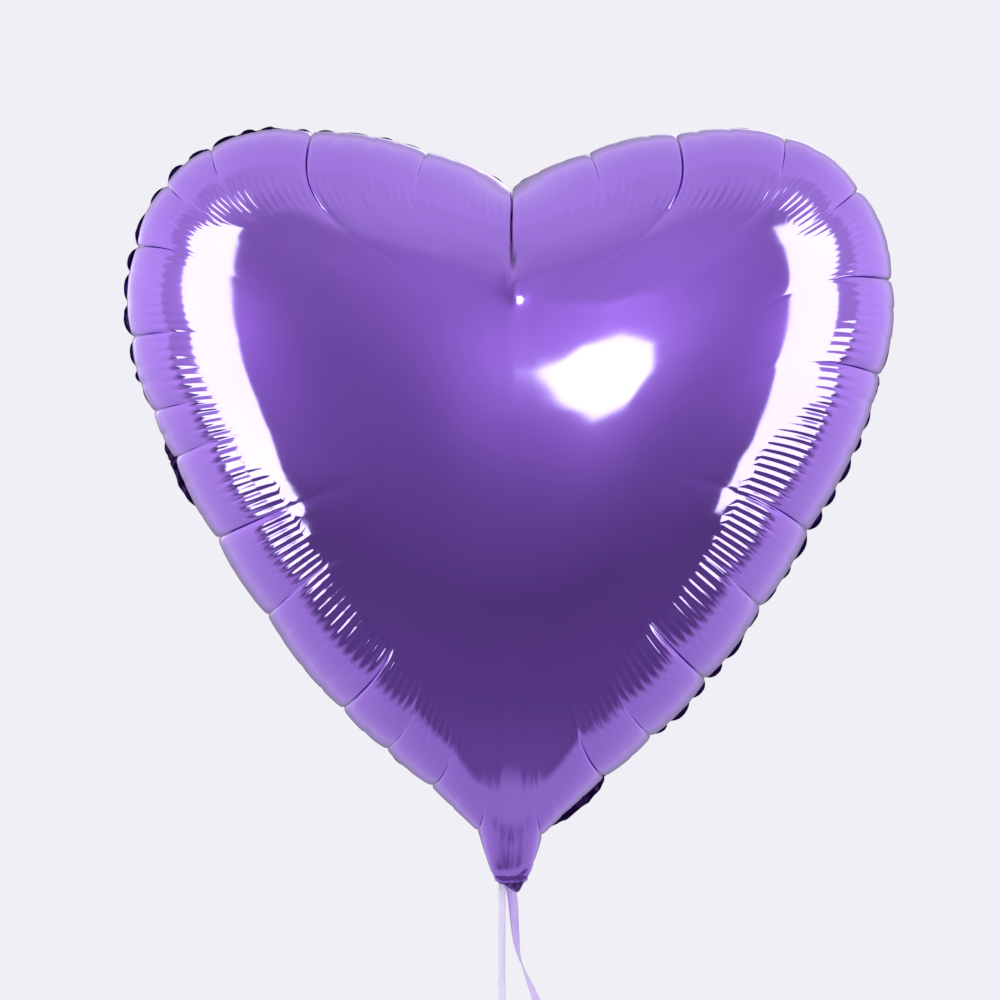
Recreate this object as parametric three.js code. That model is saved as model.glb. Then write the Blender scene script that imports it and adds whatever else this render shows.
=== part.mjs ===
// A heart-shaped foil balloon, inflated. Two films are welded together round a flat flange, and a valve of
// two clear films lies in the neck. The tail is folded up behind the neck, and a curling ribbon is tied
// round both, with one strand held in a hand loop and one strand free.
// Millimetres. +Z is up, the front faces -Y, and the origin is the middle of the neck at the tie.
import * as THREE from "three";
import { mergeVertices } from "three/addons/utils/BufferGeometryUtils.js";

// Envelope, inflated
const HEART_WIDTH = 354; // without the weld flange
const HEART_HEIGHT = 349; // from the tie to the tops of the lobes
const LOBE_SPACING = 210; // between the tops of the two lobes
const CLEFT_DEPTH = 27; // below the tops of the lobes
const WIDEST_HEIGHT = 270; // above the tie
const CENTRE_HEIGHT = 215; // above the tie, of the fullest point
const FULLNESS = 0.75; // depth of a film that barely stretches, against one that wrinkles freely
const FLANGE_WIDTH = 5;
const FILM = 0.5; // stand-in thickness of the foil
const SEAM_GAP = 0.3; // between the two films of the flange

// Neck, tied flat
const NECK_WIDTH = 28; // where the neck meets the heart
const NECK_HEIGHT = 21;
const TIE_WIDTH = 14; // of the neck gathered in the tie
const TIE_REACH = 1; // of the flat films above and below the tie
const NECK_FLAT = 3; // height up to which the neck is pressed flat
const NECK_TAPER = 12; // height over which it fills out above that
const TIE_FLANGE = 0.4; // width left of the flange in the tie

// Valve: two clear films, lying flat in the neck and up into the gas
const VALVE_FILM = 0.3;
const VALVE_WIDTH = 22;
const VALVE_TOP = 85; // above the tie
const VALVE_FOOT = 6; // above the tie

// Tail: folded down and up again behind the neck, then a loose flap of the same two films
const FOLD_THICKNESS = 0.8; // of all the layers pressed together
const FOLD_DEPTH = 5.6; // of the folded tip below the tie
const TIP_OFFSET = 2.6; // of the folded tip to the balloon's left-hand side, +X
const TIP_WIDTH = 2.4;
const FLAP_LENGTH = 48;
const FLAP_WIDTH = 28;
const FLAP_FLARE = 16; // length over which the flap widens from the tie
const BEND_HEIGHT = 8.5; // above the tie, where the flap bends
const BEND_CLEARANCE = 1.7; // between the fold and the back of the neck, at the bend
const FLAP_CLEARANCE = 1.2; // between the fold and the flap's films, at the bend
const REST_HEIGHT = 44; // above the tie, of the flap's end at rest
const REST_CLEARANCE = 8; // between the flap's end and the back of the envelope

// Ribbon
const RIBBON_WIDTH = 5;
const RIBBON_THICKNESS = 1.2; // stand-in thickness
const BAND_HEIGHT = 1.2; // of the ribbon drawn tight in the tie
const BAND_THICKNESS = 0.8;
const KNOT = { x: -1.8, z: 2.4, width: 5.2, depth: 4, height: 4.4 };
const KNOT_CLEARANCE = 0.6; // between the band and the knot behind it
const HELD_X = -3.9; // of the held strand, which hangs straight
const HAND_KNOT_HEIGHT = -69;
const HAND_KNOT_SIZE = 4.4;
const HAND_LOOP_HEIGHT = 54;
const HAND_LOOP_WIDTH = 30;

const GAP = 0.3; // clearance between pieces that touch
const RIM_STEP = 15; // length of a facet along the outline
const RINGS = 9; // from the middle of the heart to its rim
const RAYS = 20;

const foilMaterial = new THREE.MeshStandardMaterial({ color: 0x7d4cc8, metalness: 1, roughness: 0.14 });
const clearMaterial = new THREE.MeshStandardMaterial({ color: 0xe4e6ee, metalness: 0, roughness: 0.2 });
const ribbonMaterial = new THREE.MeshStandardMaterial({ color: 0xcbbdf0, metalness: 0, roughness: 0.35 });

const balloon = new THREE.Group();

function add(name, geometry, material) {
  const mesh = new THREE.Mesh(geometry, material);
  mesh.name = name;
  balloon.add(mesh);
  return mesh;
}

// A closed surface through rings of equal length, each end closed by a fan. The rings turn anticlockwise
// when they are looked at along the way from the first ring to the last.
function loft(rings) {
  const count = rings[0].length;
  const middle = (ring) => ring.reduce((sum, p) => sum.add(p), new THREE.Vector3()).divideScalar(count);
  const points = [...rings.flat(), middle(rings[0]), middle(rings[rings.length - 1])];
  const triangles = [];
  const lastRing = (rings.length - 1) * count;
  for (let j = 0; j < count; j++) {
    const next = (j + 1) % count;
    triangles.push(points.length - 2, j, next);
    triangles.push(points.length - 1, lastRing + next, lastRing + j);
    for (let start = 0; start < lastRing; start += count) {
      triangles.push(start + j, start + count + j, start + count + next);
      triangles.push(start + j, start + count + next, start + next);
    }
  }
  const geometry = new THREE.BufferGeometry().setFromPoints(points);
  geometry.setIndex(triangles);
  return mergeVertices(geometry);
}

// Outline of the inflated heart as Vector2 (x, z): from the cleft round the right lobe, the neck and the
// left lobe, back to the cleft.
function heartOutline() {
  const half = HEART_WIDTH / 2;
  const lobe = LOBE_SPACING / 2;
  const shoulder = HEART_HEIGHT - WIDEST_HEIGHT;
  const path = new THREE.Path();
  path.moveTo(0, HEART_HEIGHT - CLEFT_DEPTH);
  path.bezierCurveTo(
    0.21 * lobe, HEART_HEIGHT - CLEFT_DEPTH / 2,
    0.57 * lobe, HEART_HEIGHT,
    lobe, HEART_HEIGHT,
  );
  path.bezierCurveTo(
    lobe + 0.62 * (half - lobe), HEART_HEIGHT,
    half, WIDEST_HEIGHT + 0.58 * shoulder,
    half, WIDEST_HEIGHT,
  );
  path.bezierCurveTo(
    half, 0.82 * WIDEST_HEIGHT,
    0.75 * half, 0.545 * WIDEST_HEIGHT,
    0.525 * half, 0.36 * WIDEST_HEIGHT,
  );
  path.bezierCurveTo(
    0.34 * half, 0.21 * WIDEST_HEIGHT,
    0.6 * NECK_WIDTH + 0.06 * half, NECK_HEIGHT + 0.08 * WIDEST_HEIGHT,
    NECK_WIDTH / 2, NECK_HEIGHT,
  );
  path.lineTo(TIE_WIDTH / 2, TIE_REACH);
  path.lineTo(TIE_WIDTH / 2, -TIE_REACH);
  path.lineTo(0, -TIE_REACH);
  const right = path.curves.flatMap((curve) => {
    const steps = Math.ceil(curve.getLength() / RIM_STEP);
    return curve.getSpacedPoints(steps).slice(0, -1);
  });
  const left = right.slice(1).reverse().map((p) => new THREE.Vector2(-p.x, p.y));
  return [...right, new THREE.Vector2(0, -TIE_REACH), ...left];
}

// The outline moved outwards by a distance that may depend on the point.
function offsetOutline(outline, distanceAt) {
  return outline.map((point, i) => {
    const before = outline[(i + outline.length - 1) % outline.length];
    const after = outline[(i + 1) % outline.length];
    const normalIn = new THREE.Vector2(before.y - point.y, point.x - before.x).normalize();
    const normalOut = new THREE.Vector2(point.y - after.y, after.x - point.x).normalize();
    const mitre = distanceAt(point) / (1 + normalIn.dot(normalOut));
    return point.clone().add(normalIn.add(normalOut).multiplyScalar(mitre));
  });
}

// Distances from (x, z) to the outline, along a direction and against it.
function wallDistances(outline, x, z, dx, dz) {
  let ahead = Infinity;
  let behind = Infinity;
  outline.forEach((a, i) => {
    const b = outline[(i + 1) % outline.length];
    const sideA = (a.x - x) * dz - (a.y - z) * dx;
    const sideB = (b.x - x) * dz - (b.y - z) * dx;
    if (sideA > 0 === sideB > 0) return;
    const share = sideA / (sideA - sideB);
    const distance = (a.x + (b.x - a.x) * share - x) * dx + (a.y + (b.y - a.y) * share - z) * dz;
    if (distance > 0) ahead = Math.min(ahead, distance);
    else behind = Math.min(behind, -distance);
  });
  return [ahead, behind];
}

// Half the depth of the gas at (x, z). With FULLNESS 1 and no neck this is exact for a long tube, which
// inflates to a circle, and for an ellipse.
function gasDepth(outline, x, z) {
  let sum = 0;
  for (let k = 0; k < RAYS; k++) {
    const angle = (Math.PI * (k + 0.5)) / RAYS;
    const [ahead, behind] = wallDistances(outline, x, z, Math.cos(angle), Math.sin(angle));
    sum += 1 / (ahead * behind);
  }
  const neck = z > NECK_FLAT ? 1 - Math.exp((NECK_FLAT - z) / NECK_TAPER) : 0;
  return FULLNESS * neck * Math.sqrt(RAYS / (2 * sum));
}

// Rings of one film's face, from near the middle of the heart out to the rim. side is -1 at the front.
function faceRings(outline, side, base) {
  const rings = [];
  for (let i = 1; i <= RINGS; i++) {
    const share = Math.sin((Math.PI / 2) * (i / RINGS));
    rings.push(outline.map((rim) => {
      const x = rim.x * share;
      const z = CENTRE_HEIGHT + (rim.y - CENTRE_HEIGHT) * share;
      const depth = i < RINGS ? gasDepth(outline, x, z) : 0;
      return new THREE.Vector3(x, side * (base + depth), z);
    }));
  }
  return rings;
}

const outline = heartOutline();

// One film of the envelope with its half of the weld flange. side is -1 at the front and 1 at the back.
function foil(side) {
  const flangeAt = (p) => {
    const rise = THREE.MathUtils.smoothstep(p.y, TIE_REACH, NECK_HEIGHT + TIE_REACH);
    return TIE_FLANGE + (FLANGE_WIDTH - TIE_FLANGE) * rise;
  };
  const flangeEdge = offsetOutline(outline, flangeAt);
  const innerOutline = offsetOutline(outline, () => -FILM);
  const inner = SEAM_GAP / 2;
  const edgeRing = (y) => flangeEdge.map((p) => new THREE.Vector3(p.x, side * y, p.y));
  const rings = [
    ...faceRings(outline, side, inner + FILM),
    edgeRing(inner + FILM),
    edgeRing(inner),
    ...faceRings(innerOutline, side, inner).reverse(),
  ];
  return loft(side > 0 ? rings : rings.map((ring) => ring.slice().reverse()));
}

// A flat strip through stations { centre, across, up, width, thickness }, where across and up are unit
// vectors along its width and its thickness.
function strip(stations) {
  return loft(stations.map(({ centre, across, up, width, thickness }) => {
    const corner = (u, v) => centre.clone()
      .addScaledVector(across, (u * width) / 2)
      .addScaledVector(up, (v * thickness) / 2);
    return [corner(-1, -1), corner(-1, 1), corner(1, 1), corner(1, -1)];
  }));
}

const ACROSS = new THREE.Vector3(1, 0, 0);

// One valve film: narrow at the tie, then at its full width.
function valveFilm(side) {
  const y = side * (GAP / 2 + VALVE_FILM / 2);
  const footWidth = TIE_WIDTH - 2 * FILM - 2 * GAP;
  const station = (z, width) => ({
    centre: new THREE.Vector3(0, y, z),
    across: ACROSS,
    up: new THREE.Vector3(0, 1, 0),
    width,
    thickness: VALVE_FILM,
  });
  return strip([
    station(VALVE_FOOT, footWidth),
    station(NECK_HEIGHT + GAP, VALVE_WIDTH),
    station(VALVE_TOP, VALVE_WIDTH),
  ]);
}

// Places of the layers behind each other in the tie
const foldFrontY = 0;
const foldBackY = SEAM_GAP / 2 + FILM + GAP + FOLD_THICKNESS / 2;
const bandFrontY = -(SEAM_GAP / 2 + FILM + GAP);
const bandBackY = foldBackY + FOLD_THICKNESS / 2 + GAP;

// The back of the envelope on its middle line, and the flap that lies behind it
const backAt = (z) => SEAM_GAP / 2 + FILM + gasDepth(outline, 0, z);
const bend = new THREE.Vector3(0, backAt(BEND_HEIGHT) + BEND_CLEARANCE + FOLD_THICKNESS / 2, BEND_HEIGHT);
const flapEnd = new THREE.Vector3(0, backAt(REST_HEIGHT) + REST_CLEARANCE, REST_HEIGHT);
const flapAlong = flapEnd.clone().sub(bend).normalize();
const flapUp = new THREE.Vector3().crossVectors(flapAlong, ACROSS);

// The tail's layers pressed together: down from the neck, back up through the tie and on to the bend.
function tailFold() {
  const top = -(TIE_REACH + TIE_FLANGE + GAP);
  const floor = -FOLD_DEPTH + FOLD_THICKNESS / 2;
  const bendRadius = (foldBackY - foldFrontY) / 2;
  const tipTop = floor + bendRadius;
  const tipMiddle = (foldFrontY + foldBackY) / 2;
  const tiedWidth = TIE_WIDTH - FILM;
  const route = [
    { y: foldFrontY, z: top, x: 0.3 * TIP_OFFSET, width: tiedWidth - 0.6 * TIP_OFFSET },
    { y: foldFrontY, z: tipTop, x: 0.9 * TIP_OFFSET, width: 1.5 * TIP_WIDTH },
    { y: tipMiddle, z: floor, x: TIP_OFFSET, width: TIP_WIDTH },
    { y: foldBackY, z: tipTop, x: 0.9 * TIP_OFFSET, width: 1.5 * TIP_WIDTH },
    { y: foldBackY, z: top, x: 0, width: tiedWidth },
    { y: foldBackY, z: TIE_REACH, x: 0, width: tiedWidth },
    { y: bend.y, z: bend.z, x: 0, width: tiedWidth },
  ];
  return strip(route.map((place, i) => {
    const before = route[Math.max(i - 1, 0)];
    const after = route[Math.min(i + 1, route.length - 1)];
    const along = new THREE.Vector3(0, after.y - before.y, after.z - before.z).normalize();
    return {
      centre: new THREE.Vector3(place.x, place.y, place.z),
      across: ACROSS,
      up: new THREE.Vector3().crossVectors(along, ACROSS),
      width: place.width,
      thickness: FOLD_THICKNESS,
    };
  }));
}

// One film of the loose flap. level is its distance in front of or behind the flap's middle surface.
function flapFilm(level, thickness, widthShare) {
  const start = FOLD_THICKNESS / 2 + FLAP_CLEARANCE;
  const station = (distance, width) => ({
    centre: bend.clone().addScaledVector(flapAlong, distance).addScaledVector(flapUp, level),
    across: ACROSS,
    up: flapUp,
    width: width * widthShare,
    thickness,
  });
  return strip([
    station(start, TIE_WIDTH - FILM),
    station(start + FLAP_FLARE, FLAP_WIDTH),
    station(FLAP_LENGTH, FLAP_WIDTH),
  ]);
}

// The ribbon round the tied neck: a flat ring, drawn tight.
function neckBand() {
  const halfWidth = TIE_WIDTH / 2 + TIE_FLANGE + GAP;
  const box = (grow) => [
    new THREE.Vector2(-halfWidth - grow, bandFrontY - grow),
    new THREE.Vector2(halfWidth + grow, bandFrontY - grow),
    new THREE.Vector2(halfWidth + grow, bandBackY + grow),
    new THREE.Vector2(-halfWidth - grow, bandBackY + grow),
  ];
  const ring = new THREE.Shape(box(BAND_THICKNESS));
  ring.holes.push(new THREE.Path(box(0)));
  const geometry = new THREE.ExtrudeGeometry(ring, { depth: BAND_HEIGHT, bevelEnabled: false });
  return geometry.translate(0, 0, -BAND_HEIGHT / 2);
}

// A knot as an ellipsoid.
function knotBall(width, depth, height) {
  return new THREE.SphereGeometry(0.5, 12, 8).scale(width, depth, height);
}

// A stretch of ribbon along a curve, with a flat eight-sided section.
function ribbonTube(points) {
  const curve = new THREE.CatmullRomCurve3(points.map((p) => new THREE.Vector3(...p)));
  const section = new THREE.Shape(
    Array.from({ length: 8 }, (_, i) => {
      const angle = (Math.PI * (i + 0.5)) / 4;
      return new THREE.Vector2(RIBBON_THICKNESS * Math.cos(angle), RIBBON_WIDTH * Math.sin(angle))
        .divideScalar(2 * Math.cos(Math.PI / 8));
    }),
  );
  const steps = Math.ceil(curve.getLength() / (2.4 * RIBBON_WIDTH));
  return new THREE.ExtrudeGeometry(section, { steps, extrudePath: curve, bevelEnabled: false });
}

add("front_foil", foil(-1), foilMaterial);
add("back_foil", foil(1), foilMaterial);
add("valve_film_front", valveFilm(-1), clearMaterial);
add("valve_film_back", valveFilm(1), clearMaterial);
add("tail_tied_fold", tailFold(), foilMaterial);

const mouthLevel = (GAP + VALVE_FILM) / 2;
const flapLevel = GAP / 2 + VALVE_FILM + GAP + FILM / 2;
const mouthShare = VALVE_WIDTH / FLAP_WIDTH;
add("tail_flap_near_film", flapFilm(-flapLevel, FILM, 1), foilMaterial);
add("valve_mouth_near_film", flapFilm(-mouthLevel, VALVE_FILM, mouthShare), clearMaterial);
add("valve_mouth_far_film", flapFilm(mouthLevel, VALVE_FILM, mouthShare), clearMaterial);
add("tail_flap_far_film", flapFilm(flapLevel, FILM, 1), foilMaterial);

add("ribbon_neck_band", neckBand(), ribbonMaterial);
const knotY = bandBackY + BAND_THICKNESS + KNOT_CLEARANCE + KNOT.depth / 2;
const knot = add("ribbon_knot", knotBall(KNOT.width, KNOT.depth, KNOT.height), ribbonMaterial);
knot.position.set(KNOT.x, knotY, KNOT.z);

// The two strands start under the knot, the held one in front of the free one.
const heldY = knotY - 0.5;
const freeY = knotY + 1.6;
const strandTop = KNOT.z - KNOT.height / 2 - GAP;
const heldRoute = [
  [HELD_X, heldY, strandTop],
  [HELD_X - 0.1, heldY, -34],
  [HELD_X, heldY, HAND_KNOT_HEIGHT + HAND_KNOT_SIZE / 2 + GAP],
];
const freeRoute = [
  [-0.6, freeY, strandTop],
  [1.0, freeY + 0.3, -10],
  [2.8, freeY + 1.4, -28],
  [5.4, freeY + 3.4, -40],
  [11.7, freeY + 6.4, -56],
  [18.5, freeY + 5.4, -74],
  [19.5, freeY + 1.4, -92],
  [13.0, freeY + 0.4, -106],
];
add("ribbon_held_strand", ribbonTube(heldRoute), ribbonMaterial);
add("ribbon_free_strand", ribbonTube(freeRoute), ribbonMaterial);

const handKnotBall = knotBall(HAND_KNOT_SIZE, 0.7 * HAND_KNOT_SIZE, HAND_KNOT_SIZE);
const handKnot = add("ribbon_hand_knot", handKnotBall, ribbonMaterial);
handKnot.position.set(HELD_X, heldY, HAND_KNOT_HEIGHT);
const loopTop = HAND_KNOT_HEIGHT - HAND_KNOT_SIZE / 2 - GAP;
const loopMiddle = loopTop - 0.45 * HAND_LOOP_HEIGHT;
const loopStart = 0.75 * RIBBON_WIDTH;
const loopRoute = [
  [HELD_X - loopStart, heldY, loopTop],
  [HELD_X - HAND_LOOP_WIDTH / 2, heldY, loopMiddle],
  [HELD_X, heldY, loopTop - HAND_LOOP_HEIGHT],
  [HELD_X + HAND_LOOP_WIDTH / 2, heldY, loopMiddle],
  [HELD_X + loopStart, heldY, loopTop],
];
add("ribbon_hand_loop", ribbonTube(loopRoute), ribbonMaterial);

export default balloon;
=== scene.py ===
"""A heart-shaped foil balloon: two welded films, a tied neck, a folded tail and a curling ribbon."""
import math

import bmesh
import bpy
import numpy as np
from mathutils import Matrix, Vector


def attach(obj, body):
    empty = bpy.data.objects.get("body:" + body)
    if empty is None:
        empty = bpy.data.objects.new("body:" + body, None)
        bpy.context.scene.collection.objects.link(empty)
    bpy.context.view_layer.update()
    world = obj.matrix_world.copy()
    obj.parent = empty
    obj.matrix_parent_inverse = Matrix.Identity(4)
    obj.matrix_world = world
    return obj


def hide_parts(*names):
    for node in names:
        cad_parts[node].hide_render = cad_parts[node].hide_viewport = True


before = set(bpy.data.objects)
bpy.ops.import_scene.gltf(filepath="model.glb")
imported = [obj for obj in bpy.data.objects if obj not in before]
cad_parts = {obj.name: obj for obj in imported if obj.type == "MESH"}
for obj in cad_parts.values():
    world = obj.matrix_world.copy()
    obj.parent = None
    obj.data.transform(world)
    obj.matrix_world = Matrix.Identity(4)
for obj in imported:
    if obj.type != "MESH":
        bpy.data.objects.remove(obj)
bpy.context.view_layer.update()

FRONT, BACK = -1, 1

# Inflated outline, in metres, with the neck's tie at the origin
HALF_WIDTH = 0.177
HEIGHT = 0.349
LOBE_X = 0.105
CLEFT_DEPTH = 0.027
WIDEST_Z = 0.270
CENTRE_Z = 0.215
NECK_HALF = 0.014
NECK_TOP = 0.021
TIE_HALF = 0.007
TIE_FOOT = -0.001
FULL_DEPTH = 0.0825
FLANGE = 0.0052
FILM_GAP = 0.00018
ROUNDNESS = 1.25          # power of the profile: rounder at the rim and flatter in the middle than an ellipse
FUNNEL_SLOPE = 0.82       # of the neck's half depth above the tie


# ---------------------------------------------------------------- outline and depth of the gas

def smoothstep(low, high, x):
    t = np.clip((x - low) / (high - low), 0, 1)
    return t * t * (3 - 2 * t)


def bezier(a, b, c, d, count=400):
    t = np.linspace(0, 1, count)[:, None]
    a, b, c, d = (np.array(p) for p in (a, b, c, d))
    return (1 - t) ** 3 * a + 3 * t * (1 - t) ** 2 * b + 3 * t * t * (1 - t) * c + t ** 3 * d


def half_outline():
    """Points (x, z) from the cleft, round one lobe and down to the middle of the tie."""
    shoulder = HEIGHT - WIDEST_Z
    lobe = (LOBE_X, HEIGHT)
    hip = (0.525 * HALF_WIDTH, 0.36 * WIDEST_Z)
    neck = (NECK_HALF, NECK_TOP)
    tie = (TIE_HALF, 0.001)
    return np.concatenate([
        bezier((0, HEIGHT - CLEFT_DEPTH), (0.21 * LOBE_X, HEIGHT - CLEFT_DEPTH / 2),
               (0.57 * LOBE_X, HEIGHT), lobe),
        bezier(lobe, (LOBE_X + 0.62 * (HALF_WIDTH - LOBE_X), HEIGHT),
               (HALF_WIDTH, WIDEST_Z + 0.58 * shoulder), (HALF_WIDTH, WIDEST_Z)),
        bezier((HALF_WIDTH, WIDEST_Z), (HALF_WIDTH, 0.82 * WIDEST_Z),
               (0.75 * HALF_WIDTH, 0.545 * WIDEST_Z), hip),
        bezier(hip, (0.34 * HALF_WIDTH, 0.21 * WIDEST_Z), (0.0274, 0.0426), neck),
        bezier(neck, (0.0112, 0.013), (0.0082, 0.006), tie),
        bezier(tie, (TIE_HALF, 0), (TIE_HALF, TIE_FOOT), (0, TIE_FOOT)),
    ])


half = half_outline()
steps = np.r_[0, np.cumsum(np.hypot(*np.diff(half, axis=0).T))]
HALF_RIM = steps[-1]
RIM = 2 * HALF_RIM


def rim(s):
    """Point of the rim at s metres clockwise from the cleft, seen from the front."""
    s = np.mod(s, RIM)
    mirrored = s > HALF_RIM
    along = np.where(mirrored, RIM - s, s)
    x = np.interp(along, steps, half[:, 0])
    z = np.interp(along, steps, half[:, 1])
    return np.where(mirrored, -x, x), z


def inward(s, reach=0.011):
    """Unit direction into the heart at the rim, smoothed over the corners at the cleft and the neck."""
    total = np.zeros((2,) + np.shape(s))
    for offset in np.linspace(-2, 2, 9) * reach:
        x0, z0 = rim(s + offset - 0.0015)
        x1, z1 = rim(s + offset + 0.0015)
        total += math.exp(-(offset / reach) ** 2) * np.array([z1 - z0, x0 - x1])
    return total / np.hypot(*total)


def gas_depth_table(turns=200, rings=44, rays=56):
    """Square of the gas's half depth, by share of the way to the rim and by place along half the rim.

    Along a chord through a point, the wall is a and b away on its two sides. A film that wrinkles
    freely stands off by the square root of half the harmonic mean of a times b over all chords.
    """
    edge = np.array(rim(np.arange(0, 480) / 480 * RIM)).T
    after = np.roll(edge, -1, axis=0)
    share = np.sin(np.linspace(0, 1, rings + 1)[:-1] * math.pi / 2)
    place = np.linspace(0, HALF_RIM, turns + 1)
    rx, rz = rim(place)
    x = (share[:, None] * rx).ravel()
    z = (CENTRE_Z + share[:, None] * (rz - CENTRE_Z)).ravel()
    total = np.zeros(x.size)
    for k in range(rays):
        angle = math.pi * (k + 0.5) / rays
        dx, dz = math.cos(angle), math.sin(angle)
        side_a = (edge[:, 0] * dz - edge[:, 1] * dx)[None] - (x * dz - z * dx)[:, None]
        side_b = (after[:, 0] * dz - after[:, 1] * dx)[None] - (x * dz - z * dx)[:, None]
        crosses = (side_a > 0) != (side_b > 0)
        part = side_a / np.where(crosses, side_a - side_b, 1)
        gap = (edge[:, 0] * dx + edge[:, 1] * dz)[None] - (x * dx + z * dz)[:, None]
        gap = gap + part * ((after - edge) @ np.array([dx, dz]))[None]
        ahead = np.where(crosses & (gap > 0), gap, 9).min(1)
        behind = np.where(crosses & (gap <= 0), -gap, 9).min(1)
        total += 1 / (ahead * behind)
    square = (rays / (2 * total)).reshape(rings, turns + 1)
    square[0] = square[0].mean()
    return np.concatenate([square, np.zeros((1, turns + 1))])


depth_table = gas_depth_table()
for _ in range(2):
    depth_table[1:-1] = (depth_table[:-2] + 2 * depth_table[1:-1] + depth_table[2:]) / 4
    depth_table[:-1, 1:-1] = (depth_table[:-1, :-2] + 2 * depth_table[:-1, 1:-1] + depth_table[:-1, 2:]) / 4
depth_table[0] = depth_table[0].mean()
deepest_square = depth_table.max() * 1.006


def cubic_samples(table, at, axis, wrap):
    """Catmull-Rom weights and indices of the four samples round each place on one axis of a table."""
    count = table.shape[axis]
    low = np.floor(at).astype(int)
    part = at - low
    weights = [(-part + 2 * part ** 2 - part ** 3) / 2, (2 - 5 * part ** 2 + 3 * part ** 3) / 2,
               (part + 4 * part ** 2 - 3 * part ** 3) / 2, (-part ** 2 + part ** 3) / 2]
    return [(weight, np.mod(low + k - 1, count) if wrap else np.clip(np.abs(low + k - 1), 0, count - 1))
            for k, weight in enumerate(weights)]


fan_s = np.arange(0, 2881) / 2880 * RIM
fan_x, fan_z = rim(fan_s)
fan_angle = np.maximum.accumulate(np.unwrap(np.arctan2(fan_x, fan_z - CENTRE_Z)))


def full_depth(x, z):
    """Half depth of the gas at (x, z), flatter in the middle and rounder at the rim than an ellipse."""
    angle = np.mod(np.arctan2(x, z - CENTRE_Z), 2 * math.pi)
    s = np.interp(angle, fan_angle, fan_s)
    rx, rz = rim(s)
    share = np.clip(np.hypot(x, z - CENTRE_Z) / np.hypot(rx, rz - CENTRE_Z), 0, 1)
    rings, turns = depth_table.shape[0] - 1, depth_table.shape[1] - 1
    full = np.concatenate([depth_table, depth_table[:, -2:0:-1]], axis=1)
    across = cubic_samples(full, s / HALF_RIM * turns, 1, True)
    outward = cubic_samples(full, np.arcsin(share) / (math.pi / 2) * rings, 0, False)
    square = sum(wr * wc * full[r, c] for wr, r in outward for wc, c in across)
    fill = np.sqrt(np.clip(square / deepest_square, 0, 1))
    return FULL_DEPTH * (1 - (1 - fill) ** ROUNDNESS)


low_side = half[half[:, 1] < WIDEST_Z]
low_side = low_side[np.argmax(low_side[:, 0]):][::-1]
middle_z = np.linspace(0, 0.16, 161)
middle_depth = full_depth(np.zeros_like(middle_z), middle_z)


def gas_depth(x, z):
    """Half depth of the gas, with the neck as a tube that narrows to the tie."""
    funnel = smoothstep(0.018, 0.044, z)
    narrow = FUNNEL_SLOPE * np.maximum(z + 0.0007, 0)
    middle = funnel * np.interp(z, middle_z, middle_depth) + (1 - funnel) * narrow
    half_width = np.interp(z, low_side[:, 1], low_side[:, 0])
    round_share = np.sqrt(np.clip(1 - (x / half_width) ** 2, 0, 1))
    tube = middle * (1 - (1 - round_share) ** ROUNDNESS)
    body = smoothstep(0.024, 0.062, z)
    return body * full_depth(x, z) + (1 - body) * tube


# ---------------------------------------------------------------- camera

MIDDLE = (-0.0051, 0.1775)
SEEN_WIDTH = 0.467
CAMERA_DISTANCE = 2.3
SENSOR_WIDTH = 36

scene = bpy.context.scene


def add_object(name, data):
    added = bpy.data.objects.new(name, data)
    scene.collection.objects.link(added)
    return added


camera_data = bpy.data.cameras.new("camera")
camera = add_object("camera", camera_data)
scene.camera = camera
camera.location = (MIDDLE[0], -CAMERA_DISTANCE, MIDDLE[1])
camera.rotation_euler = (math.radians(90), 0, 0)
camera_data.sensor_width = SENSOR_WIDTH
camera_data.lens = SENSOR_WIDTH * CAMERA_DISTANCE / SEEN_WIDTH
camera_data.clip_end = 60


# ---------------------------------------------------------------- materials

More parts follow.
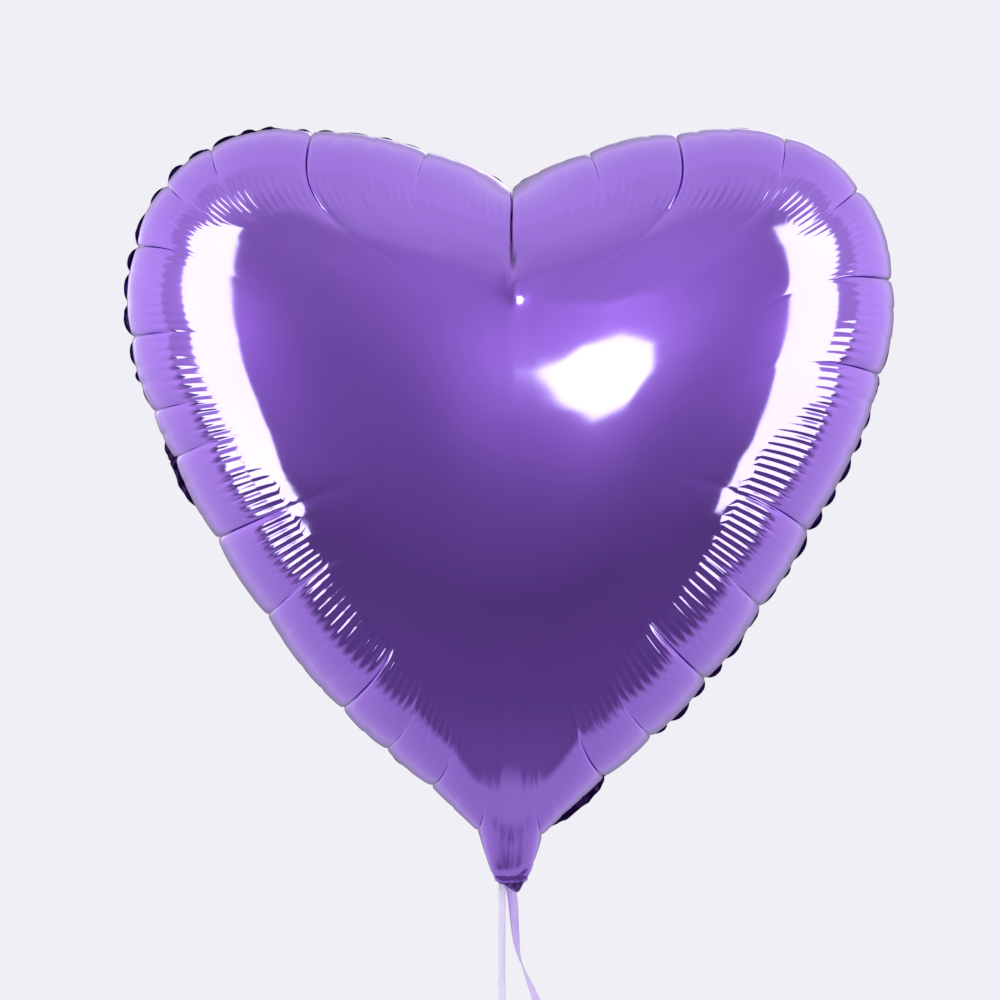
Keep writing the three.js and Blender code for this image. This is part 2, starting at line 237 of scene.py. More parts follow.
class Graph:
    """A node tree. Each method adds one kind of node, sets or links what feeds it, and returns its output."""

    def __init__(self, tree):
        self.nodes, self.links = tree.nodes, tree.links

    def add(self, kind, **settings):
        node = self.nodes.new("ShaderNode" + kind)
        for name, value in settings.items():
            setattr(node, name, value)
        return node

    def feed(self, socket, value):
        """Links an output to the socket, or sets the socket to a number, a vector or a colour."""
        if isinstance(value, bpy.types.NodeSocket):
            self.links.new(value, socket)
        else:
            socket.default_value = (*value, 1) if socket.type == "RGBA" else value

    def fill(self, node, values):
        for name, value in values.items():
            self.feed(node.inputs[name], value)

    def parts(self, vector):
        split = self.add("SeparateXYZ")
        self.feed(split.inputs[0], vector)
        return tuple(split.outputs)

    def noise(self, source, scale, detail=3, roughness=0.5):
        node = self.add("TexNoise")
        self.fill(node, {"Vector": source, "Scale": scale, "Detail": detail, "Roughness": roughness})
        return node.outputs["Fac"]

    def ramp(self, source, stops):
        node = self.add("ValToRGB")
        elements = node.color_ramp.elements
        while len(elements) < len(stops):
            elements.new(0.5)
        for element, (position, colour) in zip(elements, stops):
            element.position = position
            element.color = (*colour, 1)
        self.feed(node.inputs["Fac"], source)
        return node.outputs["Color"]

    def remap(self, source, from_low, from_high, to_low=0, to_high=1):
        node = self.add("MapRange")
        self.fill(node, {"Value": source, "From Min": from_low, "From Max": from_high,
                         "To Min": to_low, "To Max": to_high})
        return node.outputs["Result"]

    def calc(self, operation, *values):
        node = self.add("Math", operation=operation)
        for socket, value in zip(node.inputs, values):
            self.feed(socket, value)
        return node.outputs[0]

    def sine(self, source, pitch, shift=None):
        """A wave along source with the given pitch, moved on by shift radians."""
        turn = self.calc("MULTIPLY", source, 2 * math.pi / pitch)
        return self.calc("SINE", turn if shift is None else self.calc("ADD", turn, shift))

    def mix(self, share, first, second, blend="MIX"):
        node = self.add("Mix", data_type="RGBA", blend_type=blend)
        for number, value in ((0, share), (6, first), (7, second)):
            self.feed(node.inputs[number], value)
        return node.outputs[2]

    def bump(self, height, strength, distance, below=None):
        node = self.add("Bump")
        self.fill(node, {"Height": height, "Strength": strength, "Distance": distance})
        if below is not None:
            self.feed(node.inputs["Normal"], below)
        return node.outputs["Normal"]


def new_material(name):
    material = bpy.data.materials.new(name)
    material.use_nodes = True
    graph = Graph(material.node_tree)
    return material, graph, next(n for n in graph.nodes if n.type == "BSDF_PRINCIPLED")


KNURL_PITCH = 0.0009      # of the embossed weld
CRIMP_PITCH = 0.0021      # of the fine gathers beside it
RIB_PITCH = 0.00042       # of the ribbon's ribs
GLANCING_FILM = (0.90, 0.84, 1.0)
FILM_COAT = 0.6


def metallised_film(name):
    """Violet metallised film: a dyed mirror under a clear skin, with fine gathers close to the weld, painted shade in
    its sharp folds, and a weld painted near-black, partly its own duller seal and partly painted shade.
    """
    material, graph, shader = new_material(name)
    here = graph.add("TexCoord").outputs["Object"]
    along, inset, _ = graph.parts(graph.add("UVMap", uv_map="rim").outputs["UV"])
    colour = graph.ramp(graph.noise(here, 14), [
        (0.3, (0.378, 0.170, 0.850)), (0.55, (0.394, 0.183, 0.875)), (0.8, (0.410, 0.197, 0.890))])
    # the welded strip is embossed with a fine knurl and painted near-black: partly the heat seal's own duller film,
    # partly painted shade under the bulging film beside it
    weld = graph.remap(inset, -0.0006, -0.0001, 1, 0)
    knurl = graph.calc("MULTIPLY", graph.sine(along, KNURL_PITCH), graph.sine(inset, KNURL_PITCH))
    colour = graph.mix(weld, colour, graph.ramp(knurl, [(0.0, (0.018, 0.004, 0.055)), (0.7, (0.060, 0.017, 0.15))]))
    # painted shade: where the fold attribute marks a sharp fold, the film is painted near-black, standing in for a
    # fold that mirrors only itself
    fold = graph.add("Attribute", attribute_name="fold").outputs["Fac"]
    colour = graph.mix(graph.remap(fold, 0.15, 0.75, 0, 0.94), colour, (0.020, 0.006, 0.055))

    wander = graph.calc("MULTIPLY", graph.noise(here, 160, 2), 9)
    near_weld = graph.remap(inset, 0.001, 0.024, 1, 0)
    crimp = graph.calc("MULTIPLY", graph.sine(along, CRIMP_PITCH, wander), near_weld)
    embossed = graph.bump(graph.calc("MULTIPLY", knurl, weld), 0.6, 0.00005)
    crimped = graph.bump(crimp, 0.25, 0.00002, embossed)

    # the coat and the glancing tint fade on the weld; the first values stand for the whole film
    shader.inputs["Specular Tint"].default_value = (*GLANCING_FILM, 1)
    shader.inputs["Coat Weight"].default_value = FILM_COAT
    graph.fill(shader, {
        "Base Color": colour,
        "Metallic": 1,
        "Roughness": graph.remap(graph.noise(here, 38, 5, 0.6), 0.3, 0.75, 0.06, 0.105),
        "Normal": graph.bump(graph.noise(here, 900, 2), 0.06, 0.00001, crimped),
        "Specular Tint": graph.mix(weld, GLANCING_FILM, (0.22, 0.10, 0.38)),
        "Coat Weight": graph.remap(weld, 0, 1, FILM_COAT, 0.02),
        "Coat Roughness": 0.06,
        "Coat IOR": 1.5})
    return material


def clear_film(name):
    """Clear valve film: slightly milky, with fine draw lines."""
    material, graph, shader = new_material(name)
    here = graph.add("TexCoord").outputs["Object"]
    stretch = graph.add("Mapping")
    graph.fill(stretch, {"Vector": here, "Scale": (1, 1, 0.06)})
    lines = graph.noise(stretch.outputs["Vector"], 1500, 2)
    graph.fill(shader, {
        "Base Color": graph.ramp(lines, [(0.2, (0.78, 0.79, 0.84)), (0.8, (0.90, 0.91, 0.94))]),
        "Roughness": graph.remap(graph.noise(here, 90, 4), 0.3, 0.7, 0.12, 0.3),
        "Normal": graph.bump(lines, 0.2, 0.00003),
        "Transmission Weight": 0.75,
        "IOR": 1.45})
    return material


def curling_ribbon(name, light, dark, deep=None):
    """Glossy lilac curling ribbon: fine ribs along its length, pearly, and, where a deep colour is given, painted
    shade that darkens it towards the knot.
    """
    material, graph, shader = new_material(name)
    across = graph.parts(graph.add("UVMap", uv_map="strip").outputs["UV"])[0]
    here = graph.add("TexCoord").outputs["Object"]
    ribs = graph.sine(across, RIB_PITCH)
    cloudy = graph.noise(here, 120)
    mixed = graph.calc("ADD", graph.calc("MULTIPLY", graph.remap(ribs, -1, 1), 0.35),
                       graph.calc("MULTIPLY", cloudy, 0.65))
    colour = graph.ramp(mixed, [(0.25, dark), (0.75, light)])
    # painted shade: the strand is darkened towards the knot
    if deep:
        knot_shade = graph.remap(graph.parts(here)[2], -0.052, -0.022)
        colour = graph.mix(knot_shade, colour, deep)
    graph.fill(shader, {
        "Base Color": colour,
        "Roughness": graph.remap(cloudy, 0.3, 0.7, 0.24, 0.38),
        "Normal": graph.bump(ribs, 0.5, 0.00004),
        "Subsurface Weight": 0.3,
        "Subsurface Radius": (0.002, 0.0014, 0.0024),
        "Subsurface Scale": 1,
        "Coat Weight": 0.35,
        "Coat Roughness": 0.12,
        "Sheen Weight": 0.2})
    return material


violet_film = metallised_film("violet_metallised_film")
valve_film = clear_film("clear_valve_film")
lilac_ribbon = curling_ribbon("lilac_curling_ribbon", (0.66, 0.605, 0.83), (0.58, 0.51, 0.79))
# a copy of the ribbon with painted shade, for the free strand: darker all along than the held strand, and darker
# still towards the knot
painted_shade_ribbon = curling_ribbon("lilac_curling_ribbon_painted_shade", (0.56, 0.45, 0.85), (0.46, 0.35, 0.78),
                               (0.36, 0.215, 0.70))


# ---------------------------------------------------------------- pieces

def mesh_from(bm, name, material):
    mesh = bpy.data.meshes.new(name)
    bm.to_mesh(mesh)
    bm.free()
    mesh.materials.append(material)
    return mesh


def piece_from(bm, name, body, node, material):
    piece = add_object(name, mesh_from(bm, name, material))
    for face in piece.data.polygons:
        face.use_smooth = True
    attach(piece, body)
    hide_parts(node)
    return piece


def thicken(piece, thickness, offset=0.0):
    solidify = piece.modifiers.new("thickness", "SOLIDIFY")
    solidify.thickness = thickness
    solidify.offset = offset
    solidify.use_even_offset = False


def smooth_path(points, count):
    """Evenly spaced points on a smooth curve through the given ones."""
    points = np.array(points, float)
    before = np.vstack([2 * points[:1] - points[1:2], points, 2 * points[-1:] - points[-2:-1]])
    fine = []
    for i in range(len(points) - 1):
        a, b, c, d = before[i:i + 4]
        t = np.linspace(0, 1, 60, endpoint=i == len(points) - 2)[:, None]
        fine.append((2 * b + (c - a) * t + (2 * a - 5 * b + 4 * c - d) * t ** 2
                     + (3 * b - a - 3 * c + d) * t ** 3) / 2)
    fine = np.concatenate(fine)
    run = np.r_[0, np.cumsum(np.linalg.norm(np.diff(fine, axis=0), axis=1))]
    at = np.linspace(0, run[-1], count)
    return np.stack([np.interp(at, run, fine[:, k]) for k in range(3)], axis=1), run[-1]


def ribbon_strip(bm, points, facing, width, rows, cup=0.0, closed=False):
    """Adds a flat strip along a path to bm. facing gives its broad side's direction for each share of its length."""
    if closed:
        points = np.vstack([points, points[:1]])
    path, length = smooth_path(points, rows + 1)
    grid = bmesh.ops.create_grid(bm, x_segments=8, y_segments=rows, size=1)["verts"]
    way = np.gradient(path, axis=0)
    way /= np.linalg.norm(way, axis=1)[:, None]
    uv = bm.loops.layers.uv.get("strip") or bm.loops.layers.uv.new("strip")
    places = {}
    for v in grid:
        row = int(round((v.co.y + 1) / 2 * rows))
        share = v.co.x
        towards = np.array(facing(row / rows), float)
        out = towards - way[row] * (towards @ way[row])
        out /= np.linalg.norm(out)
        side = np.cross(way[row], out)
        places[v] = (share * width / 2, row / rows * length)
        v.co = path[row] + side * share * width / 2 - out * cup * width * share ** 2
    for face in {f for v in grid for f in v.link_faces}:
        for loop in face.loops:
            loop[uv].uv = places[loop.vert]
    return length


def facing_turns(angles):
    """Broad side's direction, turned by degrees from facing front, at even shares of the length."""
    def facing(share):
        turn = math.radians(np.interp(share, np.linspace(0, 1, len(angles)), angles))
        return math.sin(turn), -math.cos(turn), 0
    return facing


def facing_outwards(outward):
    """Broad side's direction for each share of a closed ring, from the direction at each of its points."""
    count = len(outward)

    def facing(share):
        low = int(share * count)
        part = share * count - low
        return outward[low % count] * (1 - part) + outward[(low + 1) % count] * part
    return facing


# ---------------------------------------------------------------- cords: the two ribbon strands

RIBBON_WIDTH = 0.005
RIBBON_THICKNESS = 0.00022

held_route = [(-0.0039, 0.00495, -0.0001), (-0.0040, 0.00495, -0.034), (-0.0039, 0.00495, -0.0665)]
free_route = [(-0.0006, 0.00705, -0.0001), (0.0010, 0.00735, -0.010), (0.0028, 0.00845, -0.028),
              (0.0054, 0.01045, -0.040), (0.0117, 0.01345, -0.056), (0.0185, 0.01245, -0.074),
              (0.0195, 0.00845, -0.092), (0.0130, 0.00745, -0.106)]
loop_route = [(-0.0045, 0.00495, -0.0706), (-0.00765, 0.00495, -0.0742), (-0.0189, 0.00495, -0.0958),
              (-0.0165, 0.00495, -0.1150), (-0.0039, 0.00495, -0.1255), (0.0087, 0.00495, -0.1150),
              (0.0111, 0.00495, -0.0958), (-0.00015, 0.00495, -0.0742), (-0.0033, 0.00495, -0.0706)]
HAND_KNOT = (-0.0039, 0.00495, -0.069)
NECK_KNOT = (-0.0018, 0.00545, 0.0024)
KNOT_POINTS = 14          # round each turn of a knot
BAND_POINTS = 24          # round each turn of the band


def wrapped_knot(name, middle, size, body, node):
    """A small tight knot: three turns of ribbon crossing over each other round a firm core."""
    bm = bmesh.new()
    core = bmesh.ops.create_icosphere(bm, subdivisions=3, radius=0.5)["verts"]
    bmesh.ops.scale(bm, vec=[0.72 * s for s in size], verts=core)
    bm.loops.layers.uv.new("strip")
    for tilt, turn, grow in ((0.5, 0.2, 0.82), (-0.75, 1.3, 0.9), (1.45, -0.6, 0.97)):
        ring = []
        for k in range(KNOT_POINTS):
            angle = 2 * math.pi * k / KNOT_POINTS
            x, z = math.cos(angle), math.sin(angle)
            y = 0.16 * math.sin(2 * angle + turn)
            y, z = y * math.cos(tilt) - z * math.sin(tilt), y * math.sin(tilt) + z * math.cos(tilt)
            x, y = x * math.cos(turn) - y * math.sin(turn), x * math.sin(turn) + y * math.cos(turn)
            ring.append([0.5 * grow * c * s for c, s in zip((x, y, z), size)])
        ring = np.array(ring)
        ribbon_strip(bm, ring, facing_outwards(ring), 0.42 * size[2], 48, cup=0.16, closed=True)
    bmesh.ops.translate(bm, vec=middle, verts=bm.verts)
    knot = piece_from(bm, name, body, node, lilac_ribbon)
    thicken(knot, RIBBON_THICKNESS, 1)
    return knot


bm = bmesh.new()
held_length = ribbon_strip(bm, held_route, facing_turns([50, 52, 54, 50]), RIBBON_WIDTH, 90, cup=0.05)
held_strand = piece_from(bm, "held_strand", "held_ribbon", "ribbon_held_strand", lilac_ribbon)
thicken(held_strand, RIBBON_THICKNESS)

hand_knot = wrapped_knot("hand_knot", HAND_KNOT, (0.0044, 0.0031, 0.0044), "held_ribbon", "ribbon_hand_knot")
bm = bmesh.new()
ribbon_strip(bm, loop_route, lambda share: (math.sin(0.9 * share - 0.4), -1, 0), RIBBON_WIDTH * 0.9, 160, cup=0.04)
hand_loop = piece_from(bm, "hand_loop", "held_ribbon", "ribbon_hand_loop", lilac_ribbon)
thicken(hand_loop, RIBBON_THICKNESS)

bm = bmesh.new()
free_length = ribbon_strip(bm, free_route, facing_turns([24, 30, 52, 96, 60, 30, 10, -20, -60]),
                           RIBBON_WIDTH, 170, cup=0.08)
# the free strand takes the ribbon with painted shade
free_strand = piece_from(bm, "free_strand", "free_ribbon", "ribbon_free_strand", painted_shade_ribbon)
thicken(free_strand, RIBBON_THICKNESS)

smooth_path(held_route, 20)[0]
smooth_path(free_route, 28)[0]

wrapped_knot("neck_knot", NECK_KNOT, (0.0050, 0.0038, 0.0042), "knot", "ribbon_knot")


BAND_HALF_WIDTH = 0.0076
BAND_HALF_DEPTH = 0.00185
BAND_MIDDLE_Y = 0.00055
BAND_STRIP_WIDTH = 0.00062


def neck_band():
    """The ribbon drawn tight round the tied neck: two narrow turns that bite into the film."""
    bm = bmesh.new()
    for lift, lean in ((0.00022, 0.00012), (-0.00024, -0.00010)):
        ring = []
        for k in range(BAND_POINTS):
            angle = 2 * math.pi * k / BAND_POINTS
            c, s = math.cos(angle), math.sin(angle)
            x = BAND_HALF_WIDTH * math.copysign(abs(c) ** 0.45, c)
            y = BAND_MIDDLE_Y + BAND_HALF_DEPTH * math.copysign(abs(s) ** 0.7, s)
            ring.append((x, y, lift + lean * math.cos(angle)))
        ring = np.array(ring)
        outward = (ring - [0, BAND_MIDDLE_Y, 0]) * [1, 3, 0]
        ribbon_strip(bm, ring, facing_outwards(outward), BAND_STRIP_WIDTH, 96, cup=0.2, closed=True)
    band = piece_from(bm, "neck_band", "envelope", "ribbon_neck_band", lilac_ribbon)
    thicken(band, RIBBON_THICKNESS, 1)


neck_band()


# ---------------------------------------------------------------- the envelope's two films

CENTRE_GRID = 60          # faces along the middle patch's side
COARSE_ROWS = 8
PLEAT_ROWS = 13
RIM_ROWS = 9
FLANGE_ROWS = 3
ROWS = COARSE_ROWS + PLEAT_ROWS + RIM_ROWS
PLEATS_IN, PLEATS_OUT = 0.6, 0.14      # where the pleat rows begin and end, as shares of the way in from the rim
ROW_SHARES = np.concatenate([          # each row's share of the way from the rim to the middle patch
    [1], 1 - (1 - PLEATS_IN) * np.arange(1, COARSE_ROWS + 1) / COARSE_ROWS,
    PLEATS_IN - (PLEATS_IN - PLEATS_OUT) * np.arange(1, PLEAT_ROWS + 1) / PLEAT_ROWS,
    PLEATS_OUT * (1 - np.arange(1, RIM_ROWS + 1) / RIM_ROWS) ** 2.6])
MIDDLE_SHARE = 0.5        # of the way to the rim
FILM_THICKNESS = 0.00022

# Deep tucks, in millimetres: rim end (x, z), inner end (x, z), depth
DEEP_TUCKS = [
    (77.1, 345.6, 83.6, 308.2, 2.3), (127, 344.2, 125.6, 326, 1.5), (156, 318, 146.6, 308.6, 1.3),
    (174.5, 280, 148, 282, 2.2), (171, 236, 141, 243, 2.0), (137.3, 163.5, 113, 180, 2.2),
    (112, 131, 100, 142, 1.2), (86, 98, 62, 119, 2.1), (62, 71, 52, 81, 1.0), (41.6, 50.4, 26, 67, 1.5),
    (13.5, 22, 4.2, 27, 0.7),
    (-15.9, 23.4, -8, 31, 0.7), (-38.8, 42, -25, 55, 1.2), (-57, 62, -47, 73, 0.9), (-78.5, 80.3, -54, 102, 2.0),
    (-110, 126, -97, 138, 1.2), (-138.2, 158.8, -101, 174, 2.3), (-158, 196, -140, 204, 1.0),
    (-166.3, 218.6, -148, 222, 1.4), (-173.3, 253.6, -157, 255, 1.3), (-174.7, 295.6, -151, 293.5, 2.0),
    (-160.6, 324.6, -151, 314, 1.3), (-139.6, 340.9, -136, 325, 1.5), (-92.5, 345.6, -99, 308, 2.4),
    (-40, 335, -46, 322, 0.8), (38, 334, 43, 321, 0.8),
]
# Comb-like gathers, in millimetres: place on the rim (x, z), spread along it, extra depth
COMBS = [(-130, 146, 38, 0.20), (-86, 90, 27, 0.22), (130, 150, 50, 0.20), (84, 95, 28, 0.22),
         (-177, 262, 62, 0.035), (177, 250, 62, 0.035)]

TUCK_SPACING = 0.0138     # about, with the small tucks counted
DEEP_WIDTH = 0.0005
SMALL_WIDTH = 0.0009
CROWDING = 2.6            # extra columns at a deep tuck
STRAIGHT_SHARE = 0.46     # of the distance at which neighbouring columns would meet
LEAST_TURN = 4            # of the columns, in radians for each metre of rim
tuck_draws = np.random.default_rng(20)


def rim_place(x, z):
    s = np.linspace(0, RIM, 6000)
    rx, rz = rim(s)
    return s[np.argmin((rx - x) ** 2 + (rz - z) ** 2)]


def rim_gap(a, b):
    """Signed distance along the rim from b to a."""
    return np.mod(a - b + RIM / 2, RIM) - RIM / 2


def gathered_seam():
    """Every tuck as (place, depth, width, reach, is deep) in order round the rim, and the long ones' directions."""
    deep, directions = [], [(0.0, 0.0, -1.0), (RIM / 2, 0.0, 1.0)]
    for x, z, end_x, end_z, depth in DEEP_TUCKS:
        s = rim_place(x / 1000, z / 1000)
        px, pz = rim(s)
        step = np.array([end_x / 1000 - px, end_z / 1000 - pz])
        reach = float(np.hypot(*step))
        deep.append((s, 0.0006 + 0.45 * depth / 1000, DEEP_WIDTH, reach * 1.1, True))
        if reach > 0.012:
            directions.append((s, *(step / reach)))
    deep.sort()
    tucks = []
    for first, second in zip(deep, deep[1:] + [(deep[0][0] + RIM, *deep[0][1:])]):
        tucks.append(first)
        span = second[0] - first[0]
        count = max(int(round(span / TUCK_SPACING)) - 1, 0)
        for k in range(count):
            s = first[0] + span * (k + 1 + tuck_draws.uniform(-0.2, 0.2)) / (count + 1)
            depth, reach = tuck_draws.uniform(0.0003, 0.0009), tuck_draws.uniform(0.005, 0.012)
            if abs(rim_gap(s, 0)) > 0.006 and abs(rim_gap(s, RIM / 2)) > 0.022:
                tucks.append((s % RIM, depth, SMALL_WIDTH, reach, False))
    return sorted(tucks), sorted(directions)


tucks, tuck_directions = gathered_seam()
places_s = np.linspace(0, RIM, 4001)
crowding = 1 + CROWDING * sum(np.exp(-(rim_gap(places_s, t[0]) / 0.0028) ** 2) for t in tucks if t[4])
crowding += CROWDING * np.exp(-(rim_gap(places_s, 0) / 0.003) ** 2)
crowded = np.r_[0, np.cumsum((crowding[1:] + crowding[:-1]) / 2)]
half_way = np.interp(RIM / 2, places_s, crowded)
crowded = np.where(places_s < RIM / 2, crowded / half_way, 1 + (crowded - half_way) / (crowded[-1] - half_way)) / 2


def column_direction(s):
    """Unit direction in which the film runs in from the rim: along the nearest deep tucks."""
    place = np.array([d[0] for d in tuck_directions])
    angle = np.unwrap([math.atan2(d[1], d[2]) for d in tuck_directions])
    whole = angle[0] + 2 * math.pi * round((angle[-1] - angle[0]) / (2 * math.pi) + 0.02)
    place = np.r_[place[-2:] - RIM, place, place[:2] + RIM]
    angle = np.r_[angle[-2:] - (whole - angle[0]), angle, angle[:2] + (whole - angle[0])]
    shifts = (-0.006, -0.002, 0.002, 0.006)
    turned = sum(np.interp(np.mod(s, RIM) + shift, place, angle) for shift in shifts) / len(shifts)
    return np.sin(turned), np.cos(turned)


def meeting_distance(s):
    """How far in from the rim neighbouring columns may run straight before they would meet."""
    total = 0
    for shift in np.linspace(-0.024, 0.024, 9):
        ax, az = column_direction(s + shift - 0.004)
        bx, bz = column_direction(s + shift + 0.004)
        closing = (ax * bz - az * bx) / 0.008
        total = total + np.maximum(np.abs(closing), LEAST_TURN) / 9
    return STRAIGHT_SHARE / total


def wave_noise(seed, cells):
    """A smooth random value round the rim, from -1 to 1."""
    values = np.random.default_rng(seed).uniform(-1, 1, cells)

    def value(s):
        at = np.mod(s / RIM, 1) * cells
        low = np.floor(at).astype(int)
        part = at - low
        part = part * part * (3 - 2 * part)
        return values[low % cells] * (1 - part) + values[(low + 1) % cells] * part
    return value


def film_mesh():
    """A disc of faces: an even middle patch, then rows outwards, with more columns where the film is pleated."""
    bm = bmesh.new()
    bmesh.ops.create_grid(bm, x_segments=CENTRE_GRID, y_segments=CENTRE_GRID, size=1)
    for v in bm.verts:
        x, y = v.co.x, v.co.y
        v.co.x = x * math.sqrt(1 - y * y / 2)
        v.co.y = y * math.sqrt(1 - x * x / 2)
    border = [e for e in bm.edges if e.is_boundary]
    for row in range(ROWS + FLANGE_ROWS):
        new = bmesh.ops.extrude_edge_only(bm, edges=border)["geom"]
        border = [g for g in new if isinstance(g, bmesh.types.BMEdge) and g.is_boundary]
        for v in {v for e in border for v in e.verts}:
            v.co *= (row + 2) / (row + 1)
    for low, high, cuts in ((COARSE_ROWS, 99, 3), (COARSE_ROWS, COARSE_ROWS + PLEAT_ROWS, 1)):
        rings = []
        for e in bm.edges:
            first, second = (v.co.length for v in e.verts)
            if abs(first - second) < 0.02 and low <= round(first) - 1 <= high:
                rings.append(e)
        bmesh.ops.subdivide_edges(bm, edges=rings, cuts=cuts, use_grid_fill=True)
    bmesh.ops.recalc_face_normals(bm, faces=bm.faces)
    bm.faces.ensure_lookup_table()
    if bm.faces[0].normal.z < 0:
        bmesh.ops.reverse_faces(bm, faces=bm.faces)
    return bm


def lay_out(flat):
    """Place on the rim, distance from it, row and (x, z) on the flat heart for each vertex of the disc."""
    radius = np.hypot(flat[:, 0], flat[:, 1])
    s = np.interp(np.mod(np.arctan2(flat[:, 0], flat[:, 1]) / (2 * math.pi), 1), crowded, places_s)
    row = np.where(radius > 1.02, np.round(radius) - 1, 0).astype(int)
    px, pz = rim(s)
    nx, nz = inward(s)
    dx, dz = column_direction(s)
    qx, qz = MIDDLE_SHARE * px, CENTRE_Z + MIDDLE_SHARE * (pz - CENTRE_Z)
    reach = np.hypot(qx - px, qz - pz)
    room = np.where(px * dx < 0, 0.35 * np.abs(px) / np.maximum(np.abs(dx), 1e-3), 1)
    far = np.minimum(0.50 * reach, np.minimum(room, meeting_distance(s)))
    far = np.minimum(far, 0.005 + np.abs(rim_gap(s, RIM / 2)))
    near = 0.55 * far
    t = ROW_SHARES[np.clip(row, 0, ROWS)]
    weights = (1 - t) ** 3, 3 * t * (1 - t) ** 2, 3 * t ** 2 * (1 - t), t ** 3
    x = sum(w * c for w, c in zip(weights, (px, px + dx * near, px + dx * far, qx)))
    z = sum(w * c for w, c in zip(weights, (pz, pz + dz * near, pz + dz * far, qz)))
    inside = radius < 1.02
    x = np.where(inside, MIDDLE_SHARE * radius * px, x)
    z = np.where(inside, CENTRE_Z + MIDDLE_SHARE * radius * (pz - CENTRE_Z), z)
    v = np.where(inside, reach * (1 + (1 - radius)), np.hypot(x - px, z - pz))
    return s, v, row, x, z, np.stack([nx, nz], 1)


def surface_directions(mesh):
    mesh.update()
    directions = np.empty(len(mesh.vertices) * 3)
    mesh.vertex_normals.foreach_get("vector", directions)
    return directions.reshape(-1, 3)


pleat_pace = wave_noise(3, 60)
pleat_depth = wave_noise(5, 300)
pleat_reach = wave_noise(8, 330)
pleat_start = wave_noise(9, 280)
PLEAT_PITCH = 0.0045
PLEAT_REACH = 0.047
turns_s = np.cumsum(np.r_[0, np.diff(places_s) / (PLEAT_PITCH + 0.0005 * pleat_pace(places_s[1:]))])
turns_s *= round(turns_s[-1]) / turns_s[-1]


def gathers(s, v, side):
    """Fine pleats some way in from the weld, which on the lower sides run further in like the teeth of a comb."""
    shift = side * 0.0031
    turn = np.interp(np.mod(s + shift, RIM), places_s, turns_s) * 2 * math.pi
    reach = PLEAT_REACH + 0.0030 * pleat_reach(s + shift)
    start = 0.0065 + 0.004 * pleat_start(s + shift)
    start = start + 0.008 * (1 - smoothstep(0.26, 0.34, np.abs(rim_gap(s, RIM / 2))))
    for place in (-0.100, 0.100):
        start = start + 0.012 * np.exp(-(rim_gap(s, place) / 0.075) ** 4)
    comb = 0.000025
    for x, z, spread, extra in COMBS:
        near = np.exp(-(rim_gap(s, rim_place(x / 1000, z / 1000)) / (spread / 1000)) ** 4)
        comb = comb + near * extra / 1000 * (0.85 + 0.15 * pleat_depth(s))
    edge = 0.00018 * (1 + 0.55 * pleat_depth(s + shift)) * (1 - smoothstep(0.006, 0.022, v - start))
    quiet = smoothstep(0.035, 0.085, np.abs(rim_gap(s, RIM / 2)))
    band = smoothstep(0, 0.008, v - start) * (1 - smoothstep(-0.010, 0, v - reach))
    wave = np.sin(turn) - 0.07 * np.sin(3 * turn) + 0.12 * np.sin(2 * turn + 1.3)
    return quiet * np.maximum(comb, edge) * band * wave


def arches(s, group):
    """Place between each point's two neighbouring tucks, from 0 to 1, their distance, and the tucks' numbers."""
    places = np.array([t[0] for t in group])
    upper = np.searchsorted(places, s) % len(group)
    lower = (upper - 1) % len(group)
    span = np.mod(places[upper] - places[lower], RIM)
    return np.clip(np.mod(s - places[lower], RIM) / span, 0, 1), span, lower, upper


def tuck_relief(s, v, h, side):
    """Sharp valleys at the tucks, and the film swelling between them and over the weld."""
    relief = np.zeros_like(s)
    uneven = np.random.default_rng(31 + side)
    for place, depth, width, reach, is_deep in tucks:
        if side == BACK:
            reach = reach * uneven.uniform(0.7, 1.25)
        gap = rim_gap(s, place)
        steep = 1 if uneven.random() < 0.5 else -1
        d = np.abs(gap)
        t = np.clip(v / reach, 0, 1)
        w = width * (1.15 - 0.4 * t) * np.where(gap * steep > 0, 0.75, 1.7)
        relief -= depth * (1 - t ** 2) * (0.85 * np.exp(-d / w) + 0.15 * np.exp(-d / (5 * w)))
    deep = [t for t in tucks if t[4]]
    ends = np.array([t[3] for t in deep])
    u, span, lower, upper = arches(s, deep)
    length = (ends[lower] * (1 - u) + ends[upper] * u) * 0.8 + 0.004
    relief += np.minimum(0.05 * span, 0.0018) * (4 * u * (1 - u)) ** 0.6 * np.exp(-(v / length) ** 1.5)
    u = arches(s, tucks)[0]
    calm = 1 - np.exp(-(rim_gap(s, RIM / 2) / 0.024) ** 2)
    recess = 0.0010 + 0.0012 * (4 * u * (1 - u)) ** 0.8
    relief += calm * (0.0008 * np.exp(-h / 0.020) - recess * np.exp(-h / 0.0040))
    return relief


def painted_fold_shade(s, v, x, z):
    """Painted shade, from 0 to 1, by how deep inside a sharp fold a point lies: along the deep tucks and the crease
    under the cleft.
    """
    shade = np.zeros_like(s)
    for place, depth, _, reach, is_deep in tucks:
        if is_deep:
            t = np.clip(v / reach, 0, 1)
            line = np.exp(-(rim_gap(s, place) / (0.00042 * (1.15 - 0.5 * t))) ** 2)
            shade = np.maximum(shade, line * np.clip(2.2 * (1 - t), 0, 1) * smoothstep(0.0004, 0.0015, depth))
    below = HEIGHT - CLEFT_DEPTH - z
    width = 0.0005 + 0.012 * np.clip(below, 0, 0.04)
    crease = np.exp(-((x - cleft_line(z)) / width) ** 2) * (1 - smoothstep(0.036, 0.043, below))
    return np.maximum(shade, crease)


def cleft_line(z):
    """The x of the crease under the cleft, which wanders a little from side to side."""
    below = HEIGHT - CLEFT_DEPTH - z
    return 0.00025 * np.sin(below * 210) + 0.010 * np.clip(below, 0, 0.045)


